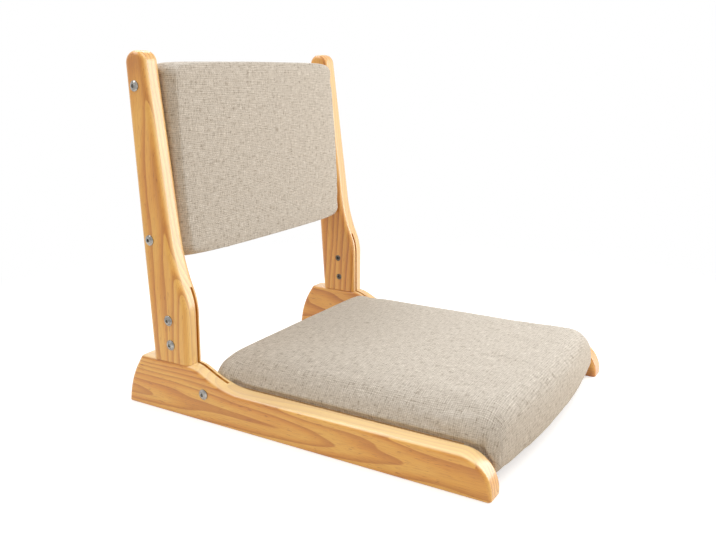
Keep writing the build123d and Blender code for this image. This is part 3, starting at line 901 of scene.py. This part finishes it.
def padding_form(name, nodes, voxel_mm):
    """One closed, even mesh round some CAD nodes."""
    shape = bmesh.new()
    for node in nodes:
        shape.from_mesh(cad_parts[node].data)
    bmesh.ops.remove_doubles(shape, verts=shape.verts, dist=SAME_PLACE)
    mesh = bpy.data.meshes.new(name)
    shape.to_mesh(mesh)
    shape.free()
    piece = bpy.data.objects.new(name, mesh)
    scene.collection.objects.link(piece)
    even = piece.modifiers.new("even_quads", "REMESH")
    even.mode = "VOXEL"
    even.voxel_size = voxel_mm * MM
    soften = piece.modifiers.new("soften", "SMOOTH")
    soften.factor = 0.5
    soften.iterations = 2
    settle(piece)
    print(f"{name}: a form of {len(piece.data.polygons)} quads")
    return piece


# %% [markdown]
# ## Folds from pumped cloth
# Blender's cloth simulation pumps the form up like a balloon. The underside, where the real cloth is
# stapled, is pinned, and the rest swells and pulls into folds between the corners. Only how far each
# point rose is kept, and the form goes back to where it was.

# %% The pump


def pump(piece, pinned, pressure, frames=20):
    """Inflates a closed piece as cloth, and returns how far each point rose, in metres.

    pinned is a weight from 0 to 1 for each point.
    """
    start, facing = points_of(piece), facing_of(piece)
    held = piece.vertex_groups.new(name="stapled")
    for index in np.nonzero(pinned > 0)[0]:
        held.add([int(index)], float(pinned[index]), "REPLACE")
    cloth = piece.modifiers.new("cover", "CLOTH")
    cloth.settings.quality = 6
    cloth.settings.mass = 0.3
    cloth.settings.use_pressure = True
    cloth.settings.uniform_pressure_force = pressure
    cloth.settings.tension_stiffness = 30
    cloth.settings.compression_stiffness = 30
    cloth.settings.shear_stiffness = 8
    cloth.settings.bending_stiffness = 0.4
    cloth.settings.vertex_group_mass = "stapled"
    cloth.settings.effector_weights.gravity = 0
    cloth.collision_settings.use_collision = False
    cloth.point_cache.frame_start = 1
    cloth.point_cache.frame_end = frames
    for number in range(1, frames + 1):
        scene.frame_set(number)
    settle(piece)
    scene.frame_set(1)
    piece.vertex_groups.clear()
    rise = ((points_of(piece) - start) * facing).sum(axis=1)
    put_points(piece, start)
    print(f"{piece.name}: rose by {rise.mean() / MM:.1f} mm, at most {rise.max() / MM:.1f} mm")
    return rise


# %% [markdown]
# ## The cover's own shape
# The CAD cover has the cushion's real outside, so the form's points are laid on it, and the folds go
# on top in relief. Each point takes the nearest place on that outside. The real cover is open behind,
# where the board closes it, so the middle of the form's rear lands on the far side of the cover's
# front. The cushion is only a skin there, and the board hides it.

# %% Laying the form on the cover
# a ray leaves each face, starting this far out, and a face whose ray meets the cover looks in
LOOK_AHEAD = 2 * MM


def outer_skin(node):
    """A searchable copy of the outside of a hollow CAD node: the faces that look out, not in."""
    shape = bmesh.new()
    shape.from_mesh(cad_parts[node].data)
    bmesh.ops.remove_doubles(shape, verts=shape.verts, dist=SAME_PLACE)
    whole = BVHTree.FromBMesh(shape)
    inner = []
    for face in shape.faces:
        start = face.calc_center_median() + face.normal * LOOK_AHEAD
        if whole.ray_cast(start, face.normal)[0] is not None:
            inner.append(face)
    bmesh.ops.delete(shape, geom=inner, context="FACES")
    skin = BVHTree.FromBMesh(shape)
    print(f"{node}: {len(shape.faces)} faces look out, {len(inner)} look in")
    shape.free()
    return skin


def lay_on(piece, skin, rise, proud_mm, fold_mm):
    """Lays the form on the real cover's outside, proud_mm over it, with folds up to fold_mm."""
    # a fold is what rises over its wide surroundings
    folds = rise - spread(piece, rise, 60)
    folds = fold_mm * MM * np.tanh(folds / (fold_mm * MM))
    laid = np.array([skin.find_nearest(spot)[0] for spot in points_of(piece)])
    put_points(piece, laid)
    even = [spread(piece, laid[:, axis], 2) for axis in range(3)]
    put_points(piece, np.stack(even, axis=1))
    lift = proud_mm * MM + spread(piece, folds, 2)
    put_points(piece, points_of(piece) + facing_of(piece) * lift[:, None])
    print(f"{piece.name}: folds from {folds.min() / MM:.2f} to {folds.max() / MM:.2f} mm")


# %% [markdown]
# ## Finish and cloth
# One subdivision makes the laid form smooth enough for its relief. The weave follows a flat map of
# the cloth in metres, so each point is given its place on the flat cloth.

# %% Subdivision, weave map and cloth


def finer(piece):
    """One subdivision, smooth-shaded."""
    finer_mesh = piece.modifiers.new("finer", "SUBSURF")
    finer_mesh.levels = 1
    finer_mesh.render_levels = 1
    settle(piece)
    for polygon in piece.data.polygons:
        polygon.use_smooth = True


def weave_map(piece, across, along):
    """Gives every point its place on the flat cloth, in metres."""
    layer = piece.data.uv_layers.new(name="weave")
    corners = np.empty(len(piece.data.loops), dtype=np.int64)
    piece.data.loops.foreach_get("vertex_index", corners)
    flat = np.stack([across[corners], along[corners]], axis=1)
    layer.data.foreach_set("uv", flat.ravel())


def wear_cloth(piece):
    """Gives a piece the cover cloth alone."""
    piece.data.materials.clear()
    piece.data.materials.append(cover_cloth)


# %% [markdown]
# ## The seat cushion
# The seat is a thick pillow that rolls down at its sides to the rails, thins towards the hinge, and
# wraps round the front edge to the underside. Where it meets the rails the wood holds it back, so
# every point beside a rail stays clear of it. So the helper below finds how high the rail is along
# its length.

# %% The rail's top


def rail_top_at(places):
    """How high the rail's top lies at places along it, front to back, in metres."""
    shape = bmesh.new()
    shape.from_mesh(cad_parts["right_rail"].data)
    rail = BVHTree.FromBMesh(shape)
    shape.free()
    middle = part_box("right_rail")[1].x - 8 * MM
    stations = np.linspace(-0.236, 0.240, 120)
    down = Vector((0, 0, -1))
    above_chair = 0.3
    tops = [rail.ray_cast(Vector((middle, y, above_chair)), down)[0].z for y in stations]
    return np.interp(places, stations, tops)


# %% Form, pump and lay the seat
NOSE_DEPTH = 0.05  # the cloth wraps round the nose this far back, and is stapled behind it
STAPLED_BELOW, STAPLE_FADE = 0.036, 0.003  # heights over the floor
seat = padding_form("seat_cushion", ["seat_foam", "seat_board", "seat_nose_bar"], 5.0)
spots = points_of(seat)
seat_low, seat_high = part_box("seat_cover")
behind_nose = spots[:, 1] > seat_low.y + NOSE_DEPTH
under = np.clip((STAPLED_BELOW - spots[:, 2]) / STAPLE_FADE, 0, 1) * behind_nose
seat_rise = pump(seat, under, pressure=1.2)
lay_on(seat, outer_skin("seat_cover"), seat_rise, proud_mm=2.2, fold_mm=0.5)
finer(seat)

# %% [markdown]
# ## Nip, tuck and nose
# Three details of the cover come after. It is nipped in at the rails' top edges, where the
# photograph shows a dark line, it is tucked in where its front corners meet the rails, and its nose
# hangs a little lower than on the CAD cover.

# %% Nip, tuck and nose of the seat
# how far past the rail's face the cover may reach, by its height over the rail's top, in mm
NIP_HEIGHTS = [-6, -3, 0.8, 5.5]
NIP_REACH = [0.0, -2.6, -2.6, 1.5]
TUCK_Y, TUCK_Z = -0.2165, 0.041  # the middle of the tuck
TUCK_HALF_Y, TUCK_HALF_Z = 0.0035, 0.0075
TUCK_FROM_X, TUCK_FADE = 0.155, 0.012  # it deepens outwards from here
TUCK_IN = 4.5 * MM
HEM_TOP, HEM_UNDER = 0.0335, 0.0302  # the stapled hem is pressed flat on the board's underside
NOSE_BACK_Y, NOSE_RUN = -0.185, 0.030  # the nose starts to hang here
NOSE_TOP, NOSE_HEIGHT = 0.050, 0.020
NOSE_HANG = 3.5 * MM

spots = points_of(seat)
x, y, z = spots[:, 0].copy(), spots[:, 1].copy(), spots[:, 2].copy()
rail_face = seat_high.x - 0.3 * MM
above = (z - rail_top_at(y)) / MM
limit = rail_face + np.interp(above, NIP_HEIGHTS, NIP_REACH) * MM
x = np.clip(x, -limit, limit)
to_tuck = np.hypot((y - TUCK_Y) / TUCK_HALF_Y, (z - TUCK_Z) / TUCK_HALF_Z)
tucked = np.exp(-to_tuck * to_tuck) * np.clip((np.abs(x) - TUCK_FROM_X) / TUCK_FADE, 0, 1)
x -= np.sign(x) * tucked * TUCK_IN
z = np.where((z < HEM_TOP) & (y > seat_low.y + NOSE_DEPTH), HEM_UNDER, z)
nose = np.clip((NOSE_BACK_Y - y) / NOSE_RUN, 0, 1) * np.clip((NOSE_TOP - z) / NOSE_HEIGHT, 0, 1)
z = np.maximum(z, seat_low.z) - nose * NOSE_HANG
y = np.maximum(y, seat_low.y - 1.0 * MM)
put_points(seat, np.stack([x, y, z], axis=1))
print(f"seat: nose down to {z.min() / MM:.1f} mm over the floor")

# %% Cloth on the seat
EDGE_HEIGHT = 0.062  # the cloth turns down over the cushion's edge at this height
drop = np.maximum(0, EDGE_HEIGHT - z)
to_side = seat_high.x - np.abs(x)
to_end = np.minimum(y - seat_low.y, seat_high.y - y)
at_side = to_side < to_end
weave_map(
    seat,
    x + np.where(at_side, np.sign(x) * drop, 0),
    y + np.where(at_side, 0, np.where(y < 0, -drop, drop)),
)
wear_cloth(seat)
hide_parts("seat_cover", "seat_foam")
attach(seat, "base")
print(f"seat cushion: {len(seat.data.polygons)} faces")

# %% [markdown]
# ## The back cushion
# The backrest is thinner and flatter: foam on a plywood board over a pine frame, with its cloth
# turned in behind. It fits between the posts, so its sides are held flat, just clear of them.

# %% Form, pump and lay the back
LEAN = math.radians(3.6)  # of the backrest, so that its own axes can be used
STAPLED_BEHIND, BACK_FADE = 0.006, 0.003  # the cloth is pinned this near the rear face
back = padding_form(
    "back_cushion",
    ["back_foam", "back_board", "back_top_crossbar", "back_bottom_crossbar", "back_stiles"],
    4.5,
)
back_low, back_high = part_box("back_cover")
back_middle = Vector((0, (back_low.y + back_high.y) / 2, (back_low.z + back_high.z) / 2))
stand_up = Matrix.Translation(back_middle) @ Matrix.Rotation(-LEAN, 4, "X")
lie_back = np.array(stand_up.inverted())
lean_again = np.array(stand_up)


def turned(points, matrix):
    """Points moved by a 4 x 4 matrix."""
    return points @ matrix[:3, :3].T + matrix[:3, 3]


own = turned(points_of(back), lie_back)
rear_face = own[:, 1].max()
behind = np.clip((own[:, 1] - (rear_face - STAPLED_BEHIND)) / BACK_FADE, 0, 1)
back_rise = pump(back, behind, pressure=1.2)
lay_on(back, outer_skin("back_cover"), back_rise, proud_mm=1.0, fold_mm=0.4)
finer(back)

# %% [markdown]
# ## Square edges
# The back's foam is a slab with a flat front and edges cut square. The front is pressed flat, and the
# round between two faces is drawn out towards their corner. A circle has the power 2 in its formula,
# and a higher power makes it squarer.

# %% Flat front and square edges of the back
# points at the first depths behind the front go to the second ones, which flattens the front
FRONT_DEPTHS = [0, 9 * MM, 22 * MM, 1]
FLAT_DEPTHS = [0, 3 * MM, 22 * MM, 1]
ROUND = 7 * MM
SQUARENESS = 5

own = turned(points_of(back), lie_back)
in_front = own[:, 1].min()
own[:, 1] = in_front + np.interp(own[:, 1] - in_front, FRONT_DEPTHS, FLAT_DEPTHS)
flat_part = np.clip(own, own.min(axis=0) + ROUND, own.max(axis=0) - (ROUND, 0, ROUND))
outward = own - flat_part
straight = np.linalg.norm(outward, axis=1)
squared = (np.abs(outward) ** SQUARENESS).sum(axis=1) ** (1 / SQUARENESS)
own = flat_part + outward * (straight / np.maximum(squared, 1e-9))[:, None]
post_face = back_high.x - 1.2 * MM
own[:, 0] = np.clip(own[:, 0], -post_face, post_face)
put_points(back, turned(own, lean_again))
print(f"back: {2 * post_face / MM:.0f} mm wide between the posts")

# %% Cloth on the back
front_face = own[:, 1].min() + 5 * MM  # the cloth turns over the edge behind this
back_drop = np.maximum(0, own[:, 1] - front_face)
to_post = post_face - np.abs(own[:, 0])
to_tip = own[:, 2].max() - np.abs(own[:, 2])
near_post = to_post < to_tip
weave_map(
    back,
    own[:, 0] + np.where(near_post, np.sign(own[:, 0]) * back_drop, 0),
    own[:, 2] + np.where(near_post, 0, np.sign(own[:, 2]) * back_drop),
)
wear_cloth(back)
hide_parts("back_cover", "back_foam")
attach(back, "back")
print(f"back cushion: {len(back.data.polygons)} faces")

# %% [markdown]
# ## The rear panel
# A thin panel in the same cloth closes the back of the backrest. Its edges are folded round a card
# strip, so they are soft and a little proud, and the cloth lies almost flat between them.

# %% The rear panel
PANEL_CORNER, PANEL_FOLD = 4 * MM, 0.7 * MM
panel_shape = bmesh.new()
panel_shape.from_mesh(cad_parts["back_rear_panel"].data)
bmesh.ops.remove_doubles(panel_shape, verts=panel_shape.verts, dist=SAME_PLACE)
bmesh.ops.dissolve_limit(
    panel_shape, angle_limit=0.01, verts=panel_shape.verts, edges=panel_shape.edges
)
# the edges that run front to back are the panel's four corners
corner_edges = [
    e for e in panel_shape.edges if abs((e.verts[0].co - e.verts[1].co).normalized().y) > 0.9
]
bmesh.ops.bevel(
    panel_shape,
    geom=corner_edges,
    offset=PANEL_CORNER,
    affect="EDGES",
    segments=4,
    profile=0.5,
    material=-1,
)
panel_mesh = bpy.data.meshes.new("rear_panel")
panel_shape.to_mesh(panel_mesh)
panel_shape.free()
panel = bpy.data.objects.new("rear_panel", panel_mesh)
scene.collection.objects.link(panel)
fold = panel.modifiers.new("soft_fold", "BEVEL")
fold.width = PANEL_FOLD
fold.segments = 3
fold.limit_method = "ANGLE"
settle(panel)
for polygon in panel.data.polygons:
    polygon.use_smooth = False
panel_own = turned(points_of(panel), lie_back)
weave_map(panel, panel_own[:, 0].copy(), panel_own[:, 2].copy())
wear_cloth(panel)
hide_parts("back_rear_panel")
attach(panel, "back")
print(f"rear panel: {len(panel.data.polygons)} faces")

# %% [markdown]
# ## Under the seat
# The underside is closed with black spunbond dust cloth, a thin felt of plastic fibres that hot
# rollers have pressed with a grid of dots. The dots are drawn 2.5 mm apart.

# %% Dust cloth
felt = new_finish("spunbond_dust_cloth")
felt_where = add_node(felt, "ShaderNodeTexCoord")
felt_dots = add_node(
    felt,
    "ShaderNodeTexVoronoi",
    {"Vector": felt_where.outputs["Object"], "Scale": 400.0, "Randomness": 0.15},
)
felt_fibres = add_node(
    felt,
    "ShaderNodeTexNoise",
    {"Vector": felt_where.outputs["Object"], "Scale": 900.0, "Detail": 4.0},
)
felt_colour = add_node(
    felt,
    "ShaderNodeValToRGB",
    {"Fac": felt_fibres.outputs["Fac"]},
    stops=[(0.3, "#26272A"), (0.7, "#3A3B3E")],
)
felt_height = add_node(
    felt,
    "ShaderNodeMath",
    {0: felt_dots.outputs["Distance"], 1: 0.5, 2: felt_fibres.outputs["Fac"]},
    operation="MULTIPLY_ADD",
)
felt_bump = add_node(
    felt, "ShaderNodeBump", {"Height": felt_height.outputs[0], "Strength": 0.5, "Distance": 0.0002}
)
felt_body = add_node(
    felt,
    "ShaderNodeBsdfPrincipled",
    {
        "Base Color": felt_colour.outputs["Color"],
        "Roughness": 0.85,
        "Sheen Weight": 0.2,
        "Normal": felt_bump.outputs["Normal"],
    },
)
close_finish(felt, felt_body)
give(felt, "seat_dust_cover")
print("dust cloth on 1 node")

# %% [markdown]
# ## Sizes at the end
# The boxes of the CAD model and of what is seen are printed one after the other. The visual model
# may stand a little proud of the CAD model but not change its size.

# %% Sizes and finish
seen_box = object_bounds()
for label, pair in (("CAD", cad_box), ("seen", seen_box)):
    print(label, [[round(c / MM, 1) for c in corner] for corner in pair])
